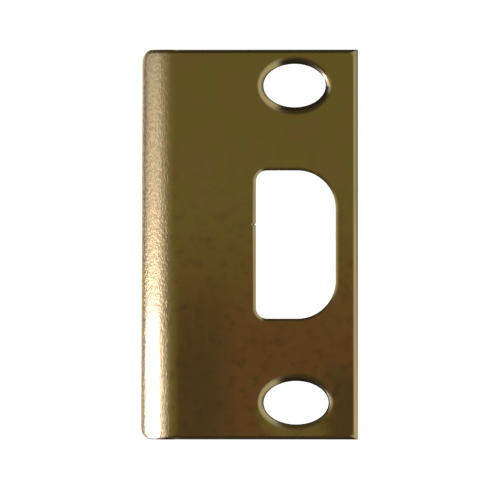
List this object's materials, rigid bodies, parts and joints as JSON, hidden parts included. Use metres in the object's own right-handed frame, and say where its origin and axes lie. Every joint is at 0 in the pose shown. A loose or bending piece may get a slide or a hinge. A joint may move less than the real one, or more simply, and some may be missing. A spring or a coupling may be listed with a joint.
{
  "type": "door strike plate",
  "caption": "Flat upright plate with a curled lip along one long edge, a latch opening and oval countersunk screw holes; it catches a door's latch bolt.",
  "frame": {"origin": "back face, midway between the centres of the upper and lower screw holes", "axes": "+Z out of the face that shows, +Y up the jamb through both screw holes, +X away from the curled lip"},
  "size_m": [0.0317, 0.0572, 0.0029],
  "materials": {
    "plated_sheet": "brass plate under clear lacquer, polished face, grained where the lip is bent"
  },
  "bodies": {
    "root": {"strike_plate": "plated_sheet"}
  },
  "joints": []
}
